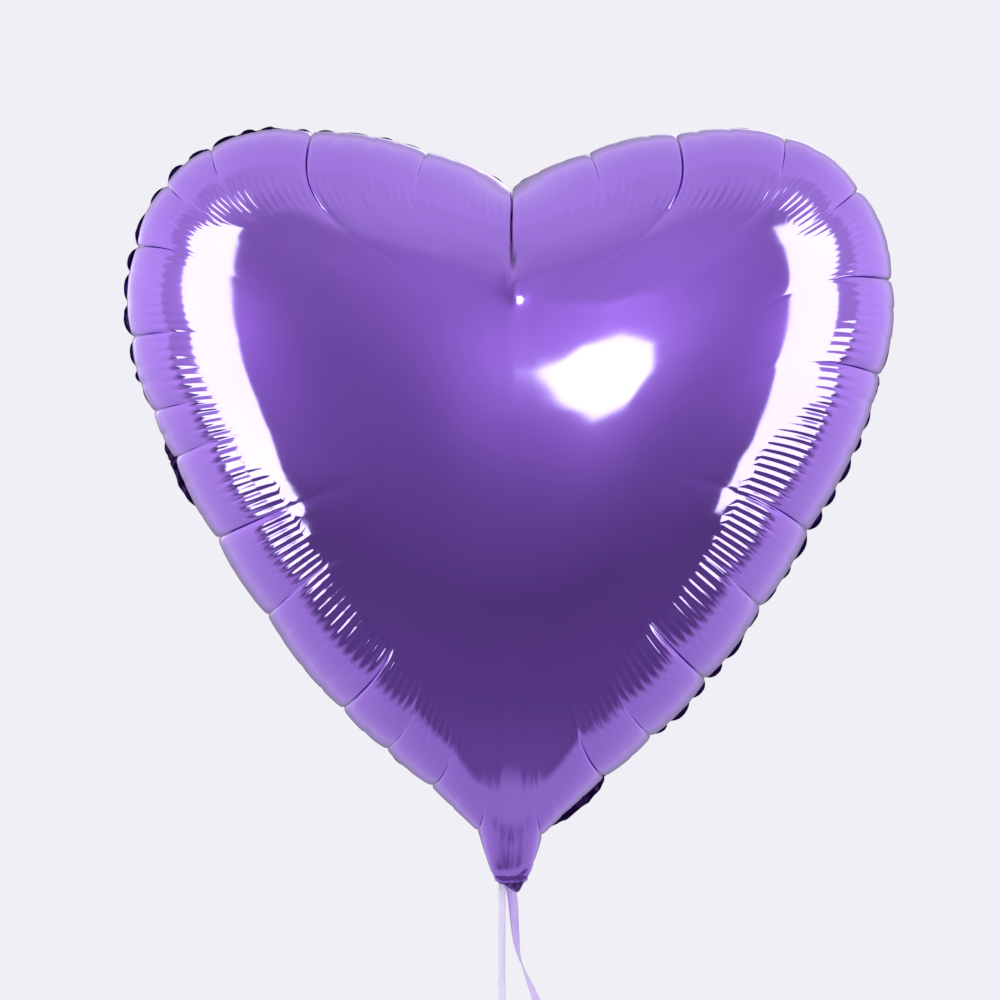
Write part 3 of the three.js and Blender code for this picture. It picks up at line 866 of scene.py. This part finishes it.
def seam_wave(s):
    """How far the weld itself is bent to the front or the back between the tucks."""
    u, _, lower, _ = arches(s, tucks)
    height = np.random.default_rng(17).uniform(-0.0016, 0.0016, len(tucks))
    calm = 1 - np.exp(-(rim_gap(s, RIM / 2) / 0.03) ** 2)
    return calm * height[lower] * np.sin(math.pi * u) ** 1.2, u


def polyline_distance(x, z, points):
    """Distance from the line through the points, and the share of its length at the nearest place."""
    best = np.full_like(x, 9.0)
    share = np.zeros_like(x)
    for k, ((ax, az), (bx, bz)) in enumerate(zip(points, points[1:])):
        length = (bx - ax) ** 2 + (bz - az) ** 2
        t = np.clip(((x - ax) * (bx - ax) + (z - az) * (bz - az)) / length, 0, 1)
        d = np.hypot(x - ax - t * (bx - ax), z - az - t * (bz - az))
        share = np.where(d < best, (k + t) / (len(points) - 1), share)
        best = np.minimum(best, d)
    return best, share


# Soft ridges pulled between the inner ends of tucks, in millimetres: points (x, z), height, width
FRONT_RIDGES = [
    ([(-137, 303), (-118, 301), (-98, 308), (-82, 300), (-26, 284), (0, 274)], 0.85, 4.5),
    ([(126, 322), (112, 301), (90, 285), (66, 273), (42, 267), (16, 268), (0, 274)], 0.95, 7.0),
    ([(84, 308), (60, 295), (23, 284), (2, 277)], 0.45, 3.5),
    ([(-101, 174), (-84, 132), (-54, 102)], 0.10, 6.0),
    ([(113, 180), (92, 142), (62, 119)], 0.10, 6.0),
    ([(-54, 102), (-30, 66), (-14, 46), (0, 40)], 0.35, 3.5),
    ([(62, 119), (32, 72), (14, 48), (0, 40)], 0.35, 3.5),
]


def film_relief(s, v, h, x, z, side):
    """How far the film stands out from the plain inflated shape."""
    relief = tuck_relief(s, v, h, side) + gathers(s, v, side)
    for number in range(5):
        a = 0.9 + 2.1 * number + side
        pitch = 0.075 + 0.013 * number
        relief += 0.00012 * np.sin((x * math.cos(a) + z * math.sin(a)) * 2 * math.pi / pitch + 3 * a)
    # the crease under the cleft: a sharp line in a broad valley, with a small pucker at its end
    below = HEIGHT - CLEFT_DEPTH - z
    fade = np.clip(1 - below / 0.048, 0, 1)
    aside = x - cleft_line(z)
    relief -= 0.0019 * fade ** 0.4 * np.exp(-np.abs(aside) / np.where(aside > 0, 0.00075, 0.0004))
    relief -= 0.0022 * fade ** 1.2 * np.exp(-np.abs(aside) / (0.003 + 0.006 * fade))
    relief += 0.0009 * np.exp(-((np.abs(aside) - 0.0021) / 0.0009) ** 2 - ((z - 0.281) / 0.0045) ** 2)
    relief += 0.0008 * np.exp(-((x - 0.0026) / 0.0032) ** 2 - ((z - 0.2710) / 0.0048) ** 2)
    if side == FRONT:
        for points, height, width in FRONT_RIDGES:
            d, share = polyline_distance(x, z, [(px / 1000, pz / 1000) for px, pz in points])
            relief += height / 1000 * np.exp(-np.sqrt(d ** 2 + 0.0006 ** 2) / (width / 1000)) * (0.6 + 0.4 * share)
    # fine creases that fan up from the tie
    fan = np.arctan2(x, z + 0.012)
    rise = np.clip(1 - z / 0.020, 0, 1) ** 1.5 * smoothstep(-0.001, 0.003, z)
    folds = np.abs(np.sin(fan * 11 + 0.35 * side + 0.6 * np.sin(fan * 4)))
    relief += 0.00022 * rise * (folds - 0.55)
    spine = (1 - smoothstep(0.018, 0.026, z)) * smoothstep(-0.001, 0.003, z)
    relief += 0.00045 * spine * np.exp(-np.abs(x + 0.0006 - 0.03 * z) / 0.0006)
    for cx, cz, angle, length in ((0.006, 0.0065, 0.65, 0.006), (0.0045, 0.0045, 0.6, 0.004)):
        along = (x - cx) * math.cos(angle) + (z - cz) * math.sin(angle)
        aside = -(x - cx) * math.sin(angle) + (z - cz) * math.cos(angle)
        relief -= 0.0006 * np.exp(-(along / length) ** 4 - np.abs(aside) / 0.0004) * (side == FRONT)
    return relief


# Where the flange shows, in millimetres: place on the rim (x, z), spread, how much, how crumpled
FLANGE_SHOWS = [(-165, 300, 95, 0.66, 0), (-70, 349, 45, 0.42, 0), (150, 180, 75, 0.56, 0), (84, 96, 40, 0.60, 0),
                (30, 40, 18, 1.0, 1.0), (-158, 188, 16, 1.0, 1.0), (-60, 62, 22, 0.35, 0),
                (-9, 330, 9, 0.45, 0.3), (9, 330, 9, 0.45, 0.3)]


def flange_offset(s, u, step, outward):
    """How far the flange runs out at each step: it leans away at the tucks and shows its face between them."""
    arch = (4 * u * (1 - u)) ** 1.1
    shown = 0.10 + 0.10 * wave_noise(41, 34)(s)
    crumple = np.zeros_like(s)
    for place_x, place_z, spread, much, crumpled in FLANGE_SHOWS:
        near = np.exp(-(rim_gap(s, rim_place(place_x / 1000, place_z / 1000)) / (spread / 1000)) ** 4)
        shown = np.maximum(shown, near * (much + 0.1 * wave_noise(43, 60)(s)))
        crumple = np.maximum(crumple, near * crumpled)
    arch = np.maximum(arch, crumple * 0.9)
    lean = np.radians(88 - 82 * np.clip(shown, 0, 1) * arch)
    sway = np.where(crumple > 0.3, 0.5, np.sign(wave_noise(47, 26)(s) + 0.45))
    width = (0.0006 + (FLANGE - 0.0006) * smoothstep(0.018, 0.032, rim(s)[1])) * (0.88 + 0.12 * wave_noise(53, 90)(s))
    offset = outward * (np.cos(lean) * width * step)[:, None]
    offset[:, 1] = np.sin(lean) * sway * width * step * (0.6 + 0.4 * step)
    offset[:, 1] += crumple * 0.0011 * step * wave_noise(59, 420)(s)
    return offset


def set_rim_map(mesh, s, inset):
    """The rim map: metres along the weld, metres in from it."""
    loops = np.empty(len(mesh.loops), dtype=int)
    mesh.loops.foreach_get("vertex_index", loops)
    starts, totals = (np.empty(len(mesh.polygons), dtype=int) for _ in range(2))
    mesh.polygons.foreach_get("loop_start", starts)
    mesh.polygons.foreach_get("loop_total", totals)
    along = s[loops]
    face_of = np.repeat(np.arange(len(starts)), totals)
    highest = np.maximum.reduceat(along, starts)
    along = np.where(highest[face_of] - along > RIM / 2, along + RIM, along)
    mesh.uv_layers["rim"].data.foreach_set("uv", np.stack([along, inset[loops]], 1).ravel())


def envelope_film(name, node, side):
    bm = film_mesh()
    if side == BACK:
        bmesh.ops.reverse_faces(bm, faces=bm.faces)
    flat = np.array([v.co[:2] for v in bm.verts])
    s, v, row, x, z, into = lay_out(flat)
    bm.loops.layers.uv.new("rim")
    piece = piece_from(bm, name, "envelope", node, violet_film)
    mesh = piece.data

    depth = np.where(row < ROWS, gas_depth(x, z), 0)
    base = np.stack([x, side * (FILM_GAP + depth), z], 1)
    mesh.vertices.foreach_set("co", base.ravel())
    out = surface_directions(mesh)
    outward = np.stack([-into[:, 0], np.zeros(len(s)), -into[:, 1]], 1)
    on_rim = (row >= ROWS)[:, None]
    out = np.where(on_rim, outward, out)

    # nothing lifts where the tie holds the films together
    held = smoothstep(-0.0005, 0.006, z)[:, None]
    relief = film_relief(s, v, depth, x, z, side)[:, None]
    points = base + out * relief * held
    if side == FRONT:
        lip = np.exp(-((z - 0.0010) / 0.0009) ** 2) * np.clip(1 - (x / 0.0086) ** 4, 0, 1)
        points[:, 1] -= 0.0013 * lip * smoothstep(0.0006, 0.0015, z)
        points[:, 2] -= 0.0018 * lip
    bend, u = seam_wave(s)
    points[:, 1] += bend * np.exp(-(depth / 0.010) ** 1.5)

    step = np.clip(row - ROWS, 0, FLANGE_ROWS) / FLANGE_ROWS
    points += flange_offset(s, u, step, outward)
    mesh.vertices.foreach_set("co", points.ravel())
    set_rim_map(mesh, s, np.where(row > ROWS, -FLANGE * step, v))
    # painted shade in the sharp folds, kept in the fold attribute for the film's material
    shade = mesh.attributes.new("fold", "FLOAT", "POINT")
    shade.data.foreach_set("value", painted_fold_shade(s, v, x, z) * (row < ROWS))
    thicken(piece, FILM_THICKNESS, 1)
    mesh.update()


envelope_film("front_film", "front_foil", FRONT)
envelope_film("back_film", "back_foil", BACK)


# ---------------------------------------------------------------- tail: tied fold, loose flap and valve

BEND = np.array([0, 0.00567, 0.0085])
FLAP_ALONG = np.array([0, 0.6790, 0.7341])
FLAP_UP = np.array([0, 0.7341, -0.6790])


FLAP_START = 0.0016       # of the loose films beyond the bend
VALVE_THICKNESS = 0.00014
VALVE_FOOT = 0.006
VALVE_LENGTH = 0.079


def grid_sheet(across, along):
    bm = bmesh.new()
    bmesh.ops.create_grid(bm, x_segments=across, y_segments=along, size=1)
    return bm


def map_to_rim(bm, place_of):
    uv = bm.loops.layers.uv.new("rim")
    for face in bm.faces:
        for loop in face.loops:
            loop[uv].uv = place_of(loop.vert.co)


def zigzag(share):
    """A pleat's height, from -0.5 to 0.5, going up and down once for each whole number."""
    return abs(share % 1 - 0.5) * 2 - 0.5


def tail_fold():
    """The tail pressed flat: down in front to a corner, back up through the tie and on to the bend."""
    bm = grid_sheet(28, 96)
    stations = np.array([   # y, z, middle x, width, in millimetres
        (-1.75, 0.55, 0.0, 13.8), (-2.05, -0.6, 0.3, 12.0), (-1.5, -2.4, 1.3, 7.9), (-0.75, -4.4, 2.3, 3.8),
        (0.05, -5.45, 2.6, 2.0), (0.75, -5.5, 2.6, 2.0), (1.2, -4.4, 2.3, 3.8), (1.3, -2.4, 0.9, 8.0),
        (1.35, -1.2, 0, 12.6), (1.35, 1.0, 0, 13.0), (2.6, 4.0, 0, 13.2), (4.3, 6.6, 0, 13.4), (5.6, 8.5, 0, 13.5)])
    run = np.r_[0, np.cumsum(np.hypot(*np.diff(stations[:, :2], axis=0).T))]
    for v in bm.verts:
        share = (v.co.y + 1) / 2
        y, z, middle, width = (np.interp(share * run[-1], run, stations[:, k]) for k in range(4))
        side = v.co.x
        folded = zigzag(side * 2.5 + 0.35)
        in_front = np.clip(1 - share / 0.42, 0, 1)
        facet = 0.55 * (1 - abs(side - 0.35) * 1.3) * in_front
        x = middle + side * width / 2
        y = y + (0.34 * folded * min(1, width / 9)) - facet
        v.co = (x / 1000, y / 1000, (z + 0.12 * folded * (share < 0.1)) / 1000)
    map_to_rim(bm, lambda place: (place.x, 0.03))
    bmesh.ops.recalc_face_normals(bm, faces=bm.faces)
    fold = piece_from(bm, "tail_fold", "envelope", "tail_tied_fold", violet_film)
    # painted shade for the tail, kept in the fold attribute: darkest along its front top edge at the tie, and by
    # varying amounts over its facets below
    shade = fold.data.attributes.new("fold", "FLOAT", "POINT")
    for v in fold.data.vertices:
        x, z = v.co.x * 1000, v.co.z * 1000
        facet_shade = math.sin(2.1 * x + 0.8 * z) + math.sin(1.3 * x - 1.9 * z + 1)
        shade.data[v.index].value = 0.75 if z > -0.5 and v.co.y < 0 else 0.40 + 0.13 * facet_shade
    thicken(fold, 0.0003)


def flap_shape(side, distance, level, half_width):
    """A place on the flap: side from -1 to 1 across, distance from the bend, level from its middle surface."""
    gather = math.exp(-((distance - 0.001) / 0.013) ** 1.3)
    lift = 0.0009 * zigzag(side * 3.5 + 0.2) * gather * (1 - gather * 0.5)
    lift += 0.0022 * (side ** 2) * smoothstep(0.008, 0.040, distance)
    lift += 0.0007 * math.sin(side * 2.2 + distance * 140) * smoothstep(0.010, 0.030, distance)
    lift += 0.0004 * math.sin(side * 7 - distance * 230) * smoothstep(0.012, 0.030, distance)
    point = BEND + FLAP_ALONG * distance + FLAP_UP * (level + lift)
    point[0] = side * half_width
    return point


def flap_film(name, node, level, reach, wide, material, slot_name, thickness, weld):
    """One film of the loose flap. level is its height in the flap, weld how far its edges close on the other's."""
    bm = grid_sheet(48, 90)
    for v in bm.verts:
        distance = FLAP_START + (v.co.y + 1) / 2 * (reach - FLAP_START)
        side = v.co.x
        half_width = (0.00675 + 0.00725 * smoothstep(FLAP_START, 0.0176, distance)) * wide
        close = 1 - weld * smoothstep(0.83, 0.93, abs(side)) * smoothstep(0.004, 0.016, distance)
        trim = 0.0005 * math.sin(side * 9) if distance > reach - 0.0012 else 0
        v.co = flap_shape(side * wide, distance + trim, level * close, half_width / wide)
    map_to_rim(bm, lambda place: (place.z, max(0.0005, 0.014 - abs(place.x))))
    bmesh.ops.recalc_face_normals(bm, faces=bm.faces)
    film = piece_from(bm, name, "tail_flap", node, material)
    thicken(film, thickness)


foil_flap = (1, violet_film, "foil", FILM_THICKNESS, 0.72)
valve_flap = (0.786, valve_film, "valve_film", VALVE_THICKNESS, 0)
tail_fold()
flap_film("tail_flap_near", "tail_flap_near_film", -0.0010, 0.048, *foil_flap)
flap_film("tail_flap_far", "tail_flap_far_film", 0.0010, 0.0478, *foil_flap)
flap_film("valve_mouth_near", "valve_mouth_near_film", -0.0003, 0.0486, *valve_flap)
flap_film("valve_mouth_far", "valve_mouth_far_film", 0.0003, 0.0488, *valve_flap)


def valve_sheet(name, node, side):
    """One clear film of the valve inside the neck, drawn in and gathered towards the tie."""
    bm = grid_sheet(32, 90)
    for v in bm.verts:
        z = VALVE_FOOT + (v.co.y + 1) / 2 * VALVE_LENGTH
        half_width = 0.0061 + 0.0049 * smoothstep(VALVE_FOOT, 0.024, z)
        gather = math.exp(-((z - VALVE_FOOT) / 0.018) ** 1.5)
        fold = zigzag(v.co.x * 2.5)
        puff = 0.0010 * (1 - v.co.x ** 2) * smoothstep(0.02, 0.06, z)
        y = side * (0.0002 + puff) + 0.0005 * fold * gather + 0.0008 * math.sin(z * 60) * (1 - gather)
        v.co = (v.co.x * half_width, y, z)
    bmesh.ops.recalc_face_normals(bm, faces=bm.faces)
    sheet = piece_from(bm, name, "envelope", node, valve_film)
    thicken(sheet, VALVE_THICKNESS)


valve_sheet("valve_front", "valve_film_front", FRONT)
valve_sheet("valve_back", "valve_film_back", BACK)


# ---------------------------------------------------------------- studio

def glow_material(name, colour, strength):
    material, graph, shader = new_material(name)
    graph.nodes.remove(shader)
    glow = graph.add("Emission")
    graph.fill(glow, {"Color": colour, "Strength": strength})
    output = next(n for n in graph.nodes if n.type == "OUTPUT_MATERIAL")
    graph.feed(output.inputs["Surface"], glow.outputs["Emission"])
    return material


def direction(azimuth, elevation):
    """Unit direction from the balloon: azimuth 0 is towards the camera, 90 to the right."""
    a, e = math.radians(azimuth), math.radians(elevation)
    return np.array([math.sin(a) * math.cos(e), -math.cos(a) * math.cos(e), math.sin(e)])


SOFTBOX = (0.57, 1.0, 0.42)            # white once the violet film has mirrored it


def light_card(name, azimuth, elevation, width, height, strength, sides=4, spin=0.0, far=1.6):
    """A glowing panel that faces the balloon and is seen only in reflections and as light."""
    bm = bmesh.new()
    panel = bmesh.ops.create_circle(bm, cap_ends=True, segments=sides, radius=0.5)["verts"]
    turn = spin + (math.pi / sides)
    stretch = 1 / math.cos(math.pi / sides)
    for v in panel:
        c, s = math.cos(turn), math.sin(turn)
        x, y = v.co.x * c - v.co.y * s, v.co.x * s + v.co.y * c
        v.co.x, v.co.y = x * width * stretch, y * height * stretch
    card = add_object(name, mesh_from(bm, name, glow_material(name, SOFTBOX, strength)))
    towards = direction(azimuth, elevation)
    card.location = np.array([0, 0, MIDDLE[1]]) + towards * far
    card.rotation_mode = "QUATERNION"
    card.rotation_quaternion = Vector(towards).to_track_quat("Z", "Y")
    card.visible_camera = False
    card.visible_diffuse = False


light_card("left_softbox", -60.5, 9.5, 0.58, 2.02, 4.7)
light_card("left_low_softbox", -77, -19, 0.38, 0.50, 4.7, far=1.7)
light_card("right_softbox", 60, 10, 0.64, 1.86, 4.7)
light_card("right_low_softbox", 78, -11, 0.44, 0.62, 4.7, far=1.7)
light_card("key_octabox", 11.0, 11.2, 0.46, 0.41, 5.4, sides=8, spin=0.2)

FLOOR_Z = -1.7
floor_material, floor_graph, floor_shader = new_material("pale_floor")
floor_graph.fill(floor_shader, {"Base Color": (0.86, 0.86, 0.90), "Roughness": 0.9})
bm = bmesh.new()
bmesh.ops.create_circle(bm, cap_ends=True, segments=64, radius=9)
floor = add_object("floor", mesh_from(bm, "floor", floor_material))
floor.location.z = FLOOR_Z
floor.visible_glossy = False

world = bpy.data.worlds.new("studio")
scene.world = world
world.use_nodes = True
sky = Graph(world.node_tree)
sky.nodes.clear()
way = sky.add("TexCoord").outputs["Generated"]
_, way_y, way_z = sky.parts(way)
height_share = sky.remap(way_z, -1, 1)
# the dim half of the room, in front of the balloon, from the floor up to the ceiling
dim_half = sky.ramp(height_share, [
    (0.0, (0.66, 0.68, 0.66)), (0.010, (0.62, 0.62, 0.63)), (0.024, (0.29, 0.25, 0.33)), (0.115, (0.22, 0.19, 0.25)),
    (0.30, (0.19, 0.16, 0.22)), (0.50, (0.31, 0.26, 0.355)), (0.72, (0.37, 0.32, 0.41)), (0.88, (0.48, 0.45, 0.50)),
    (0.955, (0.68, 0.72, 0.66)), (1.0, (0.76, 0.82, 0.74))])
# the pale wall behind the balloon, which comes forward at floor level and stands further back just above it
wall = sky.ramp(height_share, [
    (0.0, (0.62, 0.63, 0.63)), (0.06, (0.62, 0.62, 0.63)), (0.25, (0.76, 0.78, 0.76)), (0.45, (1.02, 1.05, 1.0)),
    (0.62, (1.08, 1.12, 1.04)), (0.85, (0.95, 0.98, 0.92)), (1.0, (0.86, 0.90, 0.84))])
edge_of_wall = sky.calc("ADD", sky.remap(way_z, -0.50, -0.95, 0, 0.21), sky.remap(way_z, -0.42, -0.10, -0.13, 0))
behind = sky.remap(sky.calc("ADD", way_y, edge_of_wall), -0.14, -0.01)
beside = sky.calc("MULTIPLY", sky.remap(way_y, -0.50, -0.30, 0, 0.55), sky.remap(way_z, -0.45, -0.20))
room = sky.mix(sky.calc("MAXIMUM", behind, beside), dim_half, wall)
# a dim patch far behind, which only the back film mirrors
lit = sky.mix(sky.remap(way_y, 0.74, 0.97), room, (0.30, 0.26, 0.34))


def add_glow(below, azimuth, elevation, spread, colour):
    """Soft light on the wall round a softbox, fading over spread degrees."""
    towards = sky.add("VectorMath", operation="DOT_PRODUCT")
    sky.feed(towards.inputs[0], way)
    sky.feed(towards.inputs[1], tuple(direction(azimuth, elevation)))
    sharpness = 1 / (1 - math.cos(math.radians(spread)))
    power = sky.calc("MULTIPLY", sky.calc("SUBTRACT", towards.outputs["Value"], 1.0), sharpness)
    return sky.mix(sky.calc("EXPONENT", power), below, colour, "ADD")


for azimuth, elevation, spread, colour in ((-52, 8, 17, (0.42, 0.36, 0.46)), (50, 6, 15, (0.42, 0.36, 0.46)),
                                           (10, 12, 13, (0.55, 0.50, 0.58)), (14, 32, 22, (0.26, 0.24, 0.28)),
                                           (172, 16, 7, (1.6, 1.6, 1.6)), (-152, 4, 9, (0.9, 0.9, 0.9))):
    lit = add_glow(lit, azimuth, elevation, spread, colour)


def background(colour):
    node = sky.add("Background")
    sky.feed(node.inputs["Color"], colour)
    return node.outputs["Background"]


def choose(share, first, second):
    node = sky.add("MixShader")
    for socket, value in zip(node.inputs, (share, first, second)):
        sky.feed(socket, value)
    return node.outputs["Shader"]


# matt things, such as the ribbon, are lit by an even white room, and the camera sees a plain pale one
ray = sky.add("LightPath").outputs
lighting = choose(ray["Is Diffuse Ray"], background(lit), background((1.18, 1.16, 1.22)))
seen = choose(ray["Is Camera Ray"], lighting, background((0.873, 0.863, 0.916)))
sky.feed(sky.add("OutputWorld").inputs["Surface"], seen)

scene.view_settings.view_transform = "Standard"
scene.view_settings.look = "None"
